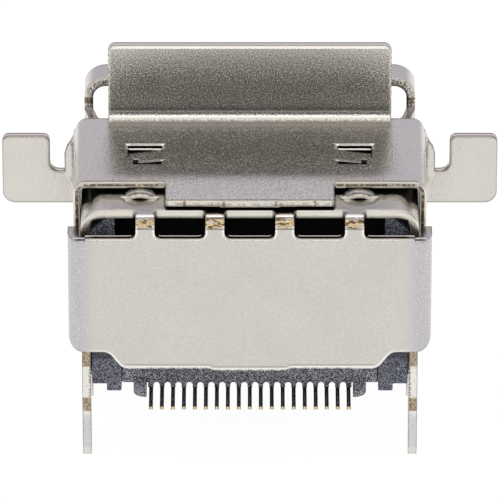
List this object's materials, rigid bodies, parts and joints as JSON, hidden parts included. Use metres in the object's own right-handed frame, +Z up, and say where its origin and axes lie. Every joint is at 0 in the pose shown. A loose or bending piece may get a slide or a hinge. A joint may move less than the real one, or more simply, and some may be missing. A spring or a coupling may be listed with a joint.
{
  "type": "hdmi socket",
  "caption": "Raised right-angle board socket for a digital video plug, with a folded metal shell, an outer shield with a panel flange and wings, and one row of solder tails.",
  "frame": {"origin": "middle of the housing's seat on the board's surface", "axes": "+Z up from the board, -Y out of the mouth, towards the plug, X across the mouth"},
  "size_m": [0.0226, 0.0143, 0.0176],
  "materials": {
    "shell_nickel": "satin nickel plate",
    "shield_nickel": "satin nickel plate",
    "insulator": "matt moulded",
    "contact_gold": "thin gold plate, dark on the upper side of the feet"
  },
  "bodies": {
    "root": {"inner_shell": "shell_nickel", "outer_shield": "shield_nickel", "housing": "insulator", "tail_comb": "insulator", "contact_01": "contact_gold", "contact_02": "contact_gold", "contact_03": "contact_gold", "contact_04": "contact_gold", "contact_05": "contact_gold", "contact_06": "contact_gold", "contact_07": "contact_gold", "contact_08": "contact_gold", "contact_09": "contact_gold", "contact_10": "contact_gold", "contact_11": "contact_gold", "contact_12": "contact_gold", "contact_13": "contact_gold", "contact_14": "contact_gold", "contact_15": "contact_gold", "contact_16": "contact_gold", "contact_17": "contact_gold", "contact_18": "contact_gold", "contact_19": "contact_gold"}
  },
  "joints": []
}
